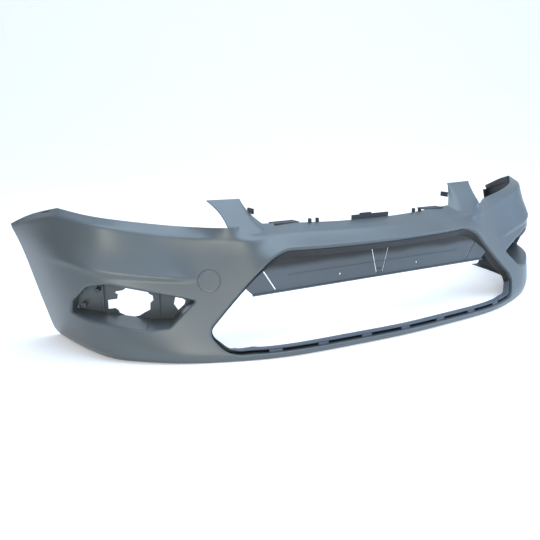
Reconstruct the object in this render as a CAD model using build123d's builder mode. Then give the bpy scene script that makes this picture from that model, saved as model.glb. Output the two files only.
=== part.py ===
"""Front bumper cover of a compact car, as a set of separate moulded and fastened pieces.

Millimetres. +X runs across the car, +Y to the rear and +Z up. The cover stands on its lower lip,
and the origin is on the floor under the middle of its bounding box.
"""
from build123d import *
import math
import os

# ---------------------------------------------------------------- driving dimensions
OVERALL_DEPTH = 550.0       # from the chin to the top rear corner beside the wheel
WALL = 3.0                  # moulded skin
RETURN_DEPTH = 14.0         # how far the skin turns back around the grille opening
FRAME_DEPTH = 30.0          # rear face of the grille frame, behind the skin's face
FRAME_WIDTH = 9.0           # grille frame, inwards from the opening's edge
FLOOR_FLANGE = 26.0         # width of the lip's underside
REACH = 400.0               # long enough to cut through everything
FRONT_CLEARANCE = 50.0      # how far in front of the face a trimming layer starts
FLOOR_TRIM = 0.5            # stock below the floor, trimmed off so that the underside is a true plane

# Feature lines of the right half, from the middle of the car to the wheel arch.
# Each point is (distance from the middle, setback behind the chin, height).
TOP_EDGE = [
    (0, 176, 293), (150, 183, 295), (300, 206, 300), (385, 201, 303), (442, 181, 304), (520, 238, 305),
    (600, 262, 315), (700, 295, 331), (760, 331, 343), (806, 375, 356), (852, 461, 333), (890, 550, 299),
]
SHOULDER_CREASE = [
    (0, 131, 275), (150, 143, 276), (300, 165, 277), (385, 152, 273), (450, 177, 274), (520, 210, 280),
    (600, 242, 289), (700, 267, 311), (762, 294, 326), (815, 348, 336), (858, 436, 320), (889, 546, 288),
]
WAIST_LINE = [
    (0, 36, 230), (150, 39, 229), (300, 54, 222), (390, 106, 200), (450, 135, 192), (520, 163, 188),
    (600, 192, 194), (690, 222, 207), (762, 249, 222), (810, 294, 240), (850, 381, 248), (875, 519, 250),
]
LAMP_LINE = [
    (0, 36, 130), (150, 39, 130), (300, 52, 130), (390, 78, 130), (450, 105, 130), (520, 133, 130),
    (602, 162, 130), (684, 190, 130), (750, 228, 130), (797, 276, 130), (828, 366, 130), (848, 483, 130),
]
LIP_LINE = [
    (0, 0, 14), (150, 5, 14), (300, 16, 14), (390, 32, 15), (450, 52, 18), (520, 80, 25),
    (604, 112, 25), (672, 152, 25), (728, 198, 25), (768, 256, 25), (800, 361, 25), (818, 483, 25),
]
FLOOR_EDGE = [
    (0, 6, 0), (150, 12, 0), (300, 22, 0), (390, 36, 0), (450, 52, 0), (520, 77, 0),
    (600, 116, 0), (661, 160, 0), (710, 203, 0), (745, 256, 0), (778, 361, 0), (803, 482, 0),
]

# Grille opening, seen from the front: corners of the right half as (across, height), with their radii.
GRILLE_CORNERS = [(341, 249), (538, 69), (500, 16)]
GRILLE_RADII = [130.0, 26.0, 60.0]

# Fog lamp pocket, in an upright plane turned out towards the corner of the car.
FOG_TURN = 30.0
FOG_CENTRE = (686.0, 211.0, 140.0)
FOG_OUTLINE = [(-156, 3), (55, 52), (105, 47), (150, 2), (158, -32), (110, -41), (-40, -62), (-92, -58)]
FOG_RADII = [6.0, 60.0, 30.0, 20.0, 8.0, 60.0, 60.0, 20.0]
FOG_POCKET_DEPTH = 60.0
FOG_LAMP_CENTRE = (6.0, -15.0)
FOG_LAMP_RADIUS = 37.0
FOG_KEY_CENTRE = (38.5, -20.5)              # notch on the outer side of the lamp hole
FOG_KEY_SIZE = (65.0, 24.0)
FOG_VENT = [(-95, -1), (-110, -3), (-120, -10), (-117, -20), (-101, -35), (-91, -20)]

# Tow eye cap, on one side only.
TOW_ACROSS = -508.0
TOW_SETBACK = 158.0
TOW_HEIGHT = 183.0
TOW_CAP_RADIUS = 28.0
TOW_GAP = 0.5
TOW_LIFT = 24.0                             # the cap faces up by this angle
TOW_TURN = -21.0                            # and out by this one
TOW_COLLAR_DEPTH = 10.0
TOW_CUT_DEPTH = 24.0                        # how far the cap's cut reaches each way through the skin

# Number plate panel: a flat upright plate behind the opening's upper half.
PLATE_SETBACK = 127.0
PLATE_HEIGHT_RANGE = (137.0, 262.0)
PLATE_ROOF_INSET = 9.0
PLATE_SCREW_ACROSS = 137.0
PLATE_SCREW_HEIGHT = 160.0
PLATE_SCREW_RADIUS = 3.0
PLATE_SLITS = [((11, 148), (33, 233)), ((338, 144), (375, 199))]
SLIT_WIDTH = 4.0

# Horns beside the bonnet: corners as (across, setback, height).
HORN_FACE = [(340, 168, 284), (385, 145, 269), (442, 181, 303), (465, 256, 365), (372, 255, 363)]
HORN_FLANK = [(318, 196, 294), (340, 168, 284), (372, 255, 363)]

# Tabs and hooks along the upper edge, as (across, setback, height) of their middles.
SIDE_TAB_CENTRE = (262.0, 213.0, 298.0)
SIDE_TAB_SIZE = (74.0, 34.0, 3.0)
SIDE_TAB_HOLE = (262.0, 220.0)
SIDE_TAB_HOLE_RADIUS = 3.25
MIDDLE_TAB_CENTRE = (0.0, 178.0, 299.0)
MIDDLE_TAB_SIZE = (130.0, 3.0, 14.0)
MIDDLE_RISER_CENTRE = (-17.0, 178.0, 308.0)
MIDDLE_RISER_SIZE = (40.0, 3.0, 4.0)
HOOK_ACROSS = (172.0, 196.0)
HOOK_SIZE = (6.0, 9.0, 16.0)
HOOK_SETBACK = 189.0
HOOK_HEIGHT = 298.0
HORN_CLIP_CENTRE = (347.0, 241.0, 331.0)
HORN_CLIP_SIZE = (5.0, 28.0, 14.0)

# Undertray screw holes in the lip's underside, and their clip nuts.
TRAY_HOLE_ACROSS = 250.0
TRAY_HOLE_SETBACK = 34.0
TRAY_HOLE_RADIUS = 4.0
CLIP_NUT_SIZE = (18.0, 14.0, 3.0)

# Wheel arch, in side view, and the pieces along it.
ARCH_CENTRE = (849.0, 80.0)
ARCH_RADIUS = 370.0
ARCH_FLANGE_WIDTH = 22.0
ARCH_FLANGE_RANGE = (30.0, 285.0)
LINER_CLIP_HEIGHTS = (60.0, 130.0, 215.0)
LINER_CLIP_SIZE = (14.0, 3.0, 14.0)
WING_RAIL = [(380, 352), (461, 330), (536, 298), (536, 286), (461, 312), (380, 336)]
WING_RAIL_DEPTH = 5.0

# Fog lamp nuts beside the lamp hole, in the pocket's own plane.
FOG_NUT_PLACES = [(-48.0, -24.0), (51.0, -41.0)]
FOG_NUT_RADIUS = 4.0
FOG_NUT_HEIGHT = 4.0

# Clips behind the number plate panel.
PANEL_CLIP_ACROSS = (-300.0, -100.0, 100.0, 300.0)
PANEL_CLIP_HEIGHT = 190.0
PANEL_CLIP_SIZE = (16.0, 10.0, 10.0)


def place(point, side=1):
    """A feature point in the part's own frame."""
    across, setback, height = point
    return Vector(side * across, setback - OVERALL_DEPTH / 2, height)


def whole_row(half_row):
    """One feature line over the whole width, left end to right end."""
    left = [place(point, -1) for point in reversed(half_row[1:])]
    return left + [place(point) for point in half_row]


def floor_inner_edge(half_row, width):
    """The inner edge of the lip's underside: the floor edge moved inwards on the floor."""
    row = whole_row(half_row)
    inner = []
    for index, point in enumerate(row):
        before = row[max(index - 1, 0)]
        after = row[min(index + 1, len(row) - 1)]
        along = (after - before).normalized()
        inner.append(point + Vector(-along.Y, along.X, 0) * width)
    return inner


ROWS = [whole_row(row) for row in (TOP_EDGE, SHOULDER_CREASE, WAIST_LINE, LAMP_LINE, LIP_LINE, FLOOR_EDGE)]
ROWS.append(floor_inner_edge(FLOOR_EDGE, FLOOR_FLANGE))
ROWS[-2:] = [[point - Vector(0, 0, FLOOR_TRIM) for point in row] for row in ROWS[-2:]]


def inset(rows, depth):
    """The same feature lines, moved inwards so that every strip between them goes in by depth."""
    moved = []
    for level, row in enumerate(rows):
        new_row = []
        for index, point in enumerate(row):
            along = row[min(index + 1, len(row) - 1)] - row[max(index - 1, 0)]
            inward = []
            for upper, lower in ((level - 1, level), (level, level + 1)):
                if 0 <= upper and lower < len(rows):
                    down = rows[lower][index] - rows[upper][index]
                    inward.append(along.cross(down).normalized())
            total = inward[0] + inward[-1]
            new_row.append(point + total * (depth / (1 + inward[0].dot(inward[-1]))))
        moved.append(new_row)
    return moved


def layer(rows, near, far):
    """The closed solid between two depths behind the outer surface."""
    surfaces = []
    for depth in (near, far):
        surfaces.append([Edge.make_spline(row) for row in inset(rows, depth)])
    faces = []
    for edges in surfaces:
        for upper, lower in zip(edges, edges[1:]):
            faces.append(Face.make_surface_from_curves(upper, lower))
    for level in (0, -1):
        faces.append(Face.make_surface_from_curves(surfaces[0][level], surfaces[1][level]))
    for end in (0, 1):
        for level in range(len(rows) - 1):
            outer = Edge.make_line(surfaces[0][level] @ end, surfaces[0][level + 1] @ end)
            inner = Edge.make_line(surfaces[1][level] @ end, surfaces[1][level + 1] @ end)
            faces.append(Face.make_surface_from_curves(outer, inner))
    return Solid(Shell(faces))


def outline_points(half_points):
    """A closed front-view outline from its right half, clockwise from the top left."""
    left = [(-across, height) for across, height in reversed(half_points)]
    return half_points + left


def grille_prism(grow=0.0, front=-REACH, back=REACH):
    """The grille opening's outline, grown by a margin and drawn out along the car's length."""
    with BuildPart(mode=Mode.PRIVATE) as prism:
        with BuildSketch(Plane.XZ.offset(-front)):
            with BuildLine():
                FilletPolyline(
                    *outline_points(GRILLE_CORNERS), radius=GRILLE_RADII + GRILLE_RADII[::-1], close=True
                )
            make_face()
            if grow:
                offset(amount=grow, kind=Kind.INTERSECTION)
        extrude(amount=front - back)
    return prism.part


def fog_plane(side, depth=0.0):
    """The upright plane of a fog pocket; its outward side faces the corner of the car."""
    turn = math.radians(FOG_TURN)
    across = Vector(side * math.cos(turn), math.sin(turn), 0)
    outward = Vector(side * math.sin(turn), -math.cos(turn), 0)
    return Plane(origin=place(FOG_CENTRE, side) - outward * depth, x_dir=across, z_dir=outward)


def fog_prism(side, grow, front, back):
    """The fog pocket's outline, grown by a margin, between two depths behind its plane."""
    sign = 1 if fog_plane(side).y_dir.Z > 0 else -1
    points = [(x, sign * z) for x, z in FOG_OUTLINE]
    with BuildPart(mode=Mode.PRIVATE) as prism:
        with BuildSketch(fog_plane(side, front)):
            with BuildLine():
                FilletPolyline(*points, radius=FOG_RADII, close=True)
            make_face()
            if grow:
                offset(amount=grow, kind=Kind.INTERSECTION)
        extrude(amount=front - back)
    return prism.part


tow_outward = Vector(0, -1, 0).rotate(Axis.X, -TOW_LIFT).rotate(Axis.Z, TOW_TURN)
tow_centre = place((TOW_ACROSS, TOW_SETBACK, TOW_HEIGHT))
tow_plane = Plane(origin=tow_centre, z_dir=tow_outward)


def tow_disc(radius, front, back):
    """A round slug on the tow eye's axis, between two depths behind its centre."""
    with BuildPart(mode=Mode.PRIVATE) as slug:
        with BuildSketch(tow_plane.offset(-front)):
            Circle(radius)
        extrude(amount=front - back)
    return slug.part


def save(part, name):
    """Label a finished piece and write it under its own name."""
    part.label = name
    export_step(part, f"parts/{name}.step")


def side_name(side):
    return "right" if side > 0 else "left"


os.makedirs("parts", exist_ok=True)

# ---------------------------------------------------------------- shared layers behind the surface
face_rows = ROWS[1:-1]
skin_layer = layer(ROWS, 0, WALL)
return_layer = layer(face_rows, WALL / 2, RETURN_DEPTH)
frame_layer = layer(face_rows, RETURN_DEPTH, FRAME_DEPTH)
front_layer = layer(face_rows, -FRONT_CLEARANCE, FRAME_DEPTH)
edge_layer = layer(ROWS[:-1], WALL, ARCH_FLANGE_WIDTH)
wing_layer = layer(ROWS[:3], WALL, WALL + WING_RAIL_DEPTH)


def horn_plate(corners, side):
    """One flat facet of a horn, with its thickness behind its face."""
    points = [place(corner, side) for corner in corners]
    normal = (points[1] - points[0]).cross(points[-1] - points[0]).normalized()
    behind = normal if normal.Y > 0 else -normal
    plane = Plane(origin=points[0], x_dir=(points[1] - points[0]).normalized(), z_dir=behind)
    local = [plane.to_local_coords(point) for point in points]
    with BuildPart(mode=Mode.PRIVATE) as plate:
        with BuildSketch(plane):
            with BuildLine():
                Polyline(*[(point.X, point.Y) for point in local], close=True)
            make_face()
        extrude(amount=WALL)
    return plate.part


def side_prism(points):
    """A side-view outline of (setback, height) points, drawn out across the whole car."""
    with BuildPart(mode=Mode.PRIVATE) as prism:
        with BuildSketch(Plane.YZ):
            with BuildLine():
                Polyline(*[(setback - OVERALL_DEPTH / 2, height) for setback, height in points], close=True)
            make_face()
        extrude(amount=3 * REACH, both=True)
    return prism.part


def largest(shape):
    """The main solid of a trimmed shape; the scraps past the trim fall away."""
    return shape.solids().sort_by(SortBy.VOLUME)[-1]


def block(centre, size, side=1):
    """A plain block for a tab or clip, before it is trimmed to what it sits on."""
    with BuildPart(Location(place(centre, side)), mode=Mode.PRIVATE) as piece:
        Box(*size)
    return piece.part


def arch_disc(radius):
    """The wheel's round space, across the whole car."""
    with BuildPart(mode=Mode.PRIVATE) as disc:
        with BuildSketch(Plane.YZ):
            with Locations((ARCH_CENTRE[0] - OVERALL_DEPTH / 2, ARCH_CENTRE[1])):
                Circle(radius)
        extrude(amount=3 * REACH, both=True)
    return disc.part


def fog_solid(side):
    """The side wall of the tub behind one fog opening; its rear wall is added with the lamp hole."""
    tub = fog_prism(side, WALL, -REACH / 2, FOG_POCKET_DEPTH) - fog_prism(side, 0, -REACH, FOG_POCKET_DEPTH * 2)
    return sorted((tub - skin_layer).solids(), key=lambda solid: solid.center().Y)[-1]


# ---------------------------------------------------------------- bumper skin
with BuildPart() as bumper_skin:
    add(skin_layer)
    add(return_layer & grille_prism(WALL))
    add(grille_prism(), mode=Mode.SUBTRACT)
    for side in (-1, 1):
        add(horn_plate(HORN_FACE, side) + horn_plate(HORN_FLANK, side))
        add(fog_prism(side, 0.0, -REACH / 2, FOG_POCKET_DEPTH * 2), mode=Mode.SUBTRACT)
    add(tow_disc(TOW_CAP_RADIUS + TOW_GAP, -TOW_CUT_DEPTH, TOW_CUT_DEPTH), mode=Mode.SUBTRACT)
    add(arch_disc(ARCH_RADIUS), mode=Mode.SUBTRACT)
    split(bisect_by=Plane.XY, keep=Keep.TOP)
    with BuildSketch(Plane.XY):
        with Locations(*[(side * TRAY_HOLE_ACROSS, TRAY_HOLE_SETBACK - OVERALL_DEPTH / 2) for side in (-1, 1)]):
            Circle(TRAY_HOLE_RADIUS)
    extrude(amount=WALL * 2, both=True, mode=Mode.SUBTRACT)
save(bumper_skin.part, "bumper_skin")

# ---------------------------------------------------------------- grille frame
with BuildPart() as grille_frame:
    add(frame_layer & grille_prism(WALL))
    add(grille_prism(-FRAME_WIDTH), mode=Mode.SUBTRACT)
save(grille_frame.part, "grille_frame")

# ---------------------------------------------------------------- number plate panel
plate_front = Plane.XZ.offset(OVERALL_DEPTH / 2 - PLATE_SETBACK)
plate_low, plate_high = PLATE_HEIGHT_RANGE
with BuildPart() as number_plate_panel:
    with BuildSketch(plate_front):
        with Locations((0, (plate_low + plate_high) / 2)):
            Rectangle(GRILLE_CORNERS[1][0] * 2, plate_high - plate_low)
        with Locations(*[(side * PLATE_SCREW_ACROSS, PLATE_SCREW_HEIGHT) for side in (-1, 1)]):
            Circle(PLATE_SCREW_RADIUS, mode=Mode.SUBTRACT)
        for side in (-1, 1):
            for foot, head in PLATE_SLITS:
                SlotCenterPoint(
                    ((foot[0] + head[0]) / 2 * side, (foot[1] + head[1]) / 2), (head[0] * side, head[1]), SLIT_WIDTH,
                    mode=Mode.SUBTRACT,
                )
    extrude(amount=-WALL)
    add(grille_prism(-PLATE_ROOF_INSET), mode=Mode.INTERSECT)
    with BuildSketch(plate_front.offset(-WALL)):
        with BuildLine():
            FilletPolyline(
                *outline_points(GRILLE_CORNERS), radius=GRILLE_RADII + GRILLE_RADII[::-1], close=True
            )
        make_face()
        offset(amount=-PLATE_ROOF_INSET, kind=Kind.INTERSECTION)
        offset(amount=-WALL, kind=Kind.INTERSECTION, mode=Mode.SUBTRACT)
        with Locations((0, plate_low / 2)):
            Rectangle(REACH * 3, plate_low, mode=Mode.SUBTRACT)
    extrude(amount=PLATE_SETBACK)
    add(front_layer, mode=Mode.SUBTRACT)
panel_solid = largest(number_plate_panel.part)
save(panel_solid, "number_plate_panel")

# ---------------------------------------------------------------- tow eye cap and its collar
with BuildPart() as tow_eye_cap:
    add(skin_layer & tow_disc(TOW_CAP_RADIUS, -TOW_CUT_DEPTH, TOW_CUT_DEPTH))
save(tow_eye_cap.part, "tow_eye_cap")

with BuildPart() as tow_eye_collar:
    add(tow_disc(TOW_CAP_RADIUS + WALL * 2, -WALL, TOW_COLLAR_DEPTH + WALL))
    add(tow_disc(TOW_CAP_RADIUS + TOW_GAP, -WALL * 2, TOW_COLLAR_DEPTH * 2), mode=Mode.SUBTRACT)
    add(layer(face_rows, -FRONT_CLEARANCE, WALL), mode=Mode.SUBTRACT)
    add(bumper_skin.part, mode=Mode.SUBTRACT)
save(largest(tow_eye_collar.part), "tow_eye_collar")

# ---------------------------------------------------------------- pieces in left and right pairs
for side in (-1, 1):
    name = side_name(side)
    flip = 1 if fog_plane(side).y_dir.Z > 0 else -1

    with BuildPart() as fog_pocket:
        add(fog_solid(side))
        with BuildSketch(fog_plane(side, FOG_POCKET_DEPTH)):
            with BuildLine():
                FilletPolyline(*[(x, flip * z) for x, z in FOG_OUTLINE], radius=FOG_RADII, close=True)
            make_face()
            with Locations((FOG_LAMP_CENTRE[0], flip * FOG_LAMP_CENTRE[1])):
                Circle(FOG_LAMP_RADIUS, mode=Mode.SUBTRACT)
            with Locations((FOG_KEY_CENTRE[0], flip * FOG_KEY_CENTRE[1])):
                Rectangle(*FOG_KEY_SIZE, mode=Mode.SUBTRACT)
            with BuildLine():
                Polyline(*[(x, flip * z) for x, z in FOG_VENT], close=True)
            make_face(mode=Mode.SUBTRACT)
        extrude(amount=WALL)
    save(largest(fog_pocket.part), f"{name}_fog_pocket")

    with BuildPart() as fog_lamp_nuts:
        with BuildSketch(fog_plane(side, FOG_POCKET_DEPTH)):
            with Locations(*[(x, flip * z) for x, z in FOG_NUT_PLACES]):
                RegularPolygon(FOG_NUT_RADIUS, 6)
        extrude(amount=-FOG_NUT_HEIGHT)
    save(fog_lamp_nuts.part, f"{name}_fog_lamp_nuts")

    with BuildPart() as top_tab:
        add(block(SIDE_TAB_CENTRE, SIDE_TAB_SIZE, side) - bumper_skin.part)
        with BuildSketch(Plane.XY.offset(SIDE_TAB_CENTRE[2] - WALL)):
            with Locations((side * SIDE_TAB_HOLE[0], SIDE_TAB_HOLE[1] - OVERALL_DEPTH / 2)):
                Circle(SIDE_TAB_HOLE_RADIUS)
        extrude(amount=WALL * 2, mode=Mode.SUBTRACT)
    save(largest(top_tab.part), f"{name}_top_tab")

    hooks = []
    for across in HOOK_ACROSS:
        hooks.append(largest(block((across, HOOK_SETBACK, HOOK_HEIGHT), HOOK_SIZE, side) - bumper_skin.part))
    save(Compound(children=hooks), f"{name}_top_hooks")

    with BuildPart() as horn_clip:
        add(largest(block(HORN_CLIP_CENTRE, HORN_CLIP_SIZE, side) - bumper_skin.part))
    save(horn_clip.part, f"{name}_horn_clip")

    with BuildPart() as wing_rail:
        rails = (wing_layer & side_prism(WING_RAIL)).solids()
        add([solid for solid in rails if solid.center().X * side > 0])
    save(wing_rail.part, f"{name}_wing_rail")

    low, high = ARCH_FLANGE_RANGE
    with BuildPart() as arch_flange:
        band = (arch_disc(ARCH_RADIUS + WALL) - arch_disc(ARCH_RADIUS)) & edge_layer
        band = band & side_prism([(0, low), (OVERALL_DEPTH * 2, low), (OVERALL_DEPTH * 2, high), (0, high)])
        add([solid for solid in band.solids() if solid.center().X * side > 0])
    save(arch_flange.part, f"{name}_arch_flange")

    clips = []
    for height in LINER_CLIP_HEIGHTS:
        rise = height - ARCH_CENTRE[1]
        front = ARCH_CENTRE[0] - math.sqrt((ARCH_RADIUS + WALL) ** 2 - rise ** 2)
        slice_at_height = arch_flange.part & block((2 * REACH, front, height), (REACH, REACH / 2, 1), side)
        across = abs(slice_at_height.center().X)
        clip = block((across, front, height), LINER_CLIP_SIZE, side) - arch_disc(ARCH_RADIUS + WALL)
        clips.append(largest(clip))
    save(Compound(children=clips), f"{name}_liner_clips")

# ---------------------------------------------------------------- single pieces and groups
with BuildPart() as middle_tab:
    add(block(MIDDLE_TAB_CENTRE, MIDDLE_TAB_SIZE) + block(MIDDLE_RISER_CENTRE, MIDDLE_RISER_SIZE))
    add(bumper_skin.part, mode=Mode.SUBTRACT)
save(largest(middle_tab.part), "middle_top_tab")

nuts = []
for side in (-1, 1):
    nut_height = WALL - FLOOR_TRIM + CLIP_NUT_SIZE[2] / 2
    nut = block((side * TRAY_HOLE_ACROSS, TRAY_HOLE_SETBACK, nut_height), CLIP_NUT_SIZE)
    with BuildPart() as clip_nut:
        add(nut)
        with BuildSketch(Plane.XY):
            with Locations((side * TRAY_HOLE_ACROSS, TRAY_HOLE_SETBACK - OVERALL_DEPTH / 2)):
                Circle(TRAY_HOLE_RADIUS)
        extrude(amount=WALL * 3, mode=Mode.SUBTRACT)
        add(bumper_skin.part, mode=Mode.SUBTRACT)
    nuts.append(largest(clip_nut.part))
save(Compound(children=nuts), "undertray_clip_nuts")

panel_clips = []
for across in PANEL_CLIP_ACROSS:
    clip = block((across, PLATE_SETBACK + WALL + PANEL_CLIP_SIZE[1] / 2, PANEL_CLIP_HEIGHT), PANEL_CLIP_SIZE)
    panel_clips.append(largest(clip - panel_solid))
save(Compound(children=panel_clips), "panel_clips")
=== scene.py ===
"""Front bumper cover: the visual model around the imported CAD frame, with its materials, lights and camera."""
import math

import bmesh
import bpy
import numpy as np
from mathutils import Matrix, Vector
from mathutils.geometry import delaunay_2d_cdt


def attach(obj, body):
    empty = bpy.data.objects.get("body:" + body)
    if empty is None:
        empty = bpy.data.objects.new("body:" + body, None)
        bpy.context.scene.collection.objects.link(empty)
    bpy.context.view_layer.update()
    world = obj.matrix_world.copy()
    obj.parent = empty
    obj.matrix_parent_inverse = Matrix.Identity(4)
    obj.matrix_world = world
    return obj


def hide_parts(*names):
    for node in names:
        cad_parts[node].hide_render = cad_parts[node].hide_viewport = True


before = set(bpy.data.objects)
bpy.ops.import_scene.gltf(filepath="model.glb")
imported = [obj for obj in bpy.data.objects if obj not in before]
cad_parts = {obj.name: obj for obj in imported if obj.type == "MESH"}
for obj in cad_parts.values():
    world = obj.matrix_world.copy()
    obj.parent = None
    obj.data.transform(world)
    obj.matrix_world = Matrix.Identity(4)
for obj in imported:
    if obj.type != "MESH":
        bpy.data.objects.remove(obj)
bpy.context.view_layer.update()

MM = 0.001
DEPTH = 550.0
WALL = 3.0

# Feature lines of the right half, as in the CAD source: (across, setback, height) in millimetres.
TOP_EDGE = [
    (0, 176, 293), (150, 183, 295), (300, 206, 300), (385, 201, 303), (442, 181, 304), (520, 238, 305),
    (600, 262, 315), (700, 295, 331), (760, 331, 343), (806, 375, 356), (852, 461, 333), (890, 550, 299),
]
SHOULDER_CREASE = [
    (0, 131, 275), (150, 143, 276), (300, 165, 277), (385, 152, 273), (450, 177, 274), (520, 210, 280),
    (600, 242, 289), (700, 267, 311), (762, 294, 326), (815, 348, 336), (858, 436, 320), (889, 546, 288),
]
WAIST_LINE = [
    (0, 36, 230), (150, 39, 229), (300, 54, 222), (390, 106, 200), (450, 135, 192), (520, 163, 188),
    (600, 192, 194), (690, 222, 207), (762, 249, 222), (810, 294, 240), (850, 381, 248), (875, 519, 250),
]
LAMP_LINE = [
    (0, 36, 130), (150, 39, 130), (300, 52, 130), (390, 78, 130), (450, 105, 130), (520, 133, 130),
    (602, 162, 130), (684, 190, 130), (750, 228, 130), (797, 276, 130), (828, 366, 130), (848, 483, 130),
]
LIP_LINE = [
    (0, 0, 14), (150, 5, 14), (300, 16, 14), (390, 32, 15), (450, 52, 18), (520, 80, 25),
    (604, 112, 25), (672, 152, 25), (728, 198, 25), (768, 256, 25), (800, 361, 25), (818, 483, 25),
]
FLOOR_EDGE = [
    (0, 6, 0), (150, 12, 0), (300, 22, 0), (390, 36, 0), (450, 52, 0), (520, 77, 0),
    (600, 116, 0), (661, 160, 0), (710, 203, 0), (745, 256, 0), (778, 361, 0), (803, 482, 0),
]
FLOOR_FLANGE = 26.0

GRILLE_CORNERS = [(341, 249), (538, 69), (500, 16)]
GRILLE_RADII = [130.0, 26.0, 60.0]
ROLL_RADIUS = 4.0
RETURN_DEPTH = 14.0

FOG_TURN = math.radians(30.0)
FOG_CENTRE = (686.0, 211.0, 140.0)
FOG_OUTLINE = [(-156, 3), (55, 52), (105, 47), (150, 2), (158, -32), (110, -41), (-40, -62), (-92, -58)]
FOG_RADII = [6.0, 60.0, 30.0, 20.0, 8.0, 60.0, 60.0, 20.0]
FOG_DEPTH = 57.0
FOG_RIM_CUT = 1.5                           # how far outside its outline the fog opening is cut
FOG_RIM_RADIUS = 5.0
FOG_TAPER = 0.03
SKIN_CLEARANCE = 0.5
POCKET_WALL = 2.0
LAMP_HOLE = [
    (22, 24), (-27, 13), (-31, 6), (-39, 3), (-41, -9), (-33, -16), (-32, -34),
    (-20, -40), (-4, -50), (9, -52), (28, -49), (44, -42), (46, -36), (54, -30), (71, -32), (71, -9),
    (48, -6), (46, 6), (52, 8), (51, 13), (33, 16),
]
LAMP_VENT = [(-95, -1), (-110, -3), (-120, -10), (-117, -20), (-101, -35), (-91, -20)]

ARCH_CENTRE = (849.0, 80.0)
ARCH_RADIUS = 370.0

TOW_CENTRE = (-508.0, 158.0, 183.0)
TOW_OUTWARD = (-0.32737, -0.85285, 0.40674)
TOW_RADIUS = 28.0
TOW_GAP = 0.5

PLATE_SETBACK = 127.0
PLATE_LOW = 137.0
PLATE_HALF = 446.0
PLATE_CHAMFER = 10.0
PLATE_CHAMFER_RUN = 27.0
PLATE_INSET = 5.0
PLATE_SCREW_PLACE = (137.0, 160.0)
PLATE_SCREW_RADIUS = 3.0
SLITS = [((11, 148), (33, 233)), ((338, 144), (375, 199))]
SLIT_WIDTH = 3.5

HORN_FACE = [(340, 168, 284), (385, 145, 269), (442, 181, 303), (465, 256, 365), (372, 255, 363)]
HORN_FLANK_FOOT = (318, 196, 294)

U_STEPS = 340
STRIP_STEPS = (4, 7, 20, 22, 22, 12)


# ---------------------------------------------------------------- the fascia's surface
def whole(half):
    """A feature line over the whole width, in millimetres, in the part's frame."""
    points = np.array(half, float)
    points[:, 1] -= DEPTH / 2
    mirrored = points[:0:-1] * [-1, 1, 1]
    return np.vstack([mirrored, points])


def floor_inner():
    row = whole(FLOOR_EDGE)
    along = np.gradient(row, axis=0)
    along /= np.linalg.norm(along, axis=1)[:, None]
    return row + np.c_[-along[:, 1], along[:, 0], np.zeros(len(row))] * FLOOR_FLANGE


FEATURE_LINES = (FLOOR_EDGE, LIP_LINE, LAMP_LINE, WAIST_LINE, SHOULDER_CREASE, TOP_EDGE)
ROWS = [floor_inner()] + [whole(line) for line in FEATURE_LINES]
LAST = len(ROWS[0]) - 1


CORNER_STATIONS = (2, LAST - 2)             # the sharp corner of the top edge beside the headlamp


def natural_slopes(row):
    """Tangents of a smooth curve through the row's points (natural cubic)."""
    n = len(row)
    matrix = np.zeros((n, n))
    right = np.zeros((n, 3))
    for i in range(1, n - 1):
        matrix[i, i - 1:i + 2] = (1, 4, 1)
        right[i] = 3 * (row[i + 1] - row[i - 1])
    matrix[0, :2] = (2, 1)
    right[0] = 3 * (row[1] - row[0])
    matrix[-1, -2:] = (1, 2)
    right[-1] = 3 * (row[-1] - row[-2])
    return np.linalg.solve(matrix, right)


def slopes(row, corners):
    """Tangents leaving and reaching each point, with the curve broken at its corners."""
    leaving, reaching = np.zeros_like(row), np.zeros_like(row)
    stops = [0, *corners, len(row) - 1]
    for first, last in zip(stops, stops[1:]):
        part = natural_slopes(row[first:last + 1])
        leaving[first:last] = part[:-1]
        reaching[first + 1:last + 1] = part[1:]
    return leaving, reaching


SLOPES = [slopes(row, CORNER_STATIONS if level == len(ROWS) - 1 else ()) for level, row in enumerate(ROWS)]


def along_row(level, u):
    i = np.clip(np.floor(u).astype(int), 0, LAST - 1)
    f = (u - i)[:, None]
    p, (leaving, reaching) = ROWS[level], SLOPES[level]
    return ((2 * f**3 - 3 * f**2 + 1) * p[i] + (f**3 - 2 * f**2 + f) * leaving[i]
            + (3 * f**2 - 2 * f**3) * p[i + 1] + (f**3 - f**2) * reaching[i + 1])


def smoothstep(low, high, x):
    t = np.clip((x - low) / (high - low), 0, 1)
    return t * t * (3 - 2 * t)


def softness(level, x):
    """How much of each neighbouring strip the rounding of a feature line takes."""
    x = np.abs(x)
    if level == 4:
        return 0.49 - 0.36 * smoothstep(480, 580, x) * (1 - smoothstep(760, 850, x))
    if level == 5:
        return 0.2 - 0.08 * smoothstep(300, 420, x)
    return np.full_like(x, {1: 0.35, 2: 0.3, 3: 0.49}[level])


WAIST_RELIEF = 5.0
SHOULDER_RELIEF = 3.0


def relief(t, x):
    """How far the skin stands out at its two styling creases, in millimetres."""
    x = np.abs(x)
    above = np.clip((4.55 - t) / 0.55, 0, 1) ** 2
    below = np.clip((t - 3.84) / 0.16, 0, 1)
    waist = np.where(t >= 4, above, smoothstep(0, 1, below))
    waist = waist * smoothstep(520, 600, x) * (1 - smoothstep(790, 860, x))
    rise = np.clip((t - 4.5) / 0.5, 0, 1) ** 2
    fall = np.clip(6 - t, 0, 1)
    shoulder = np.where(t >= 5, fall, rise) * (1 - smoothstep(800, 860, x))
    return WAIST_RELIEF * waist + SHOULDER_RELIEF * shoulder


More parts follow.
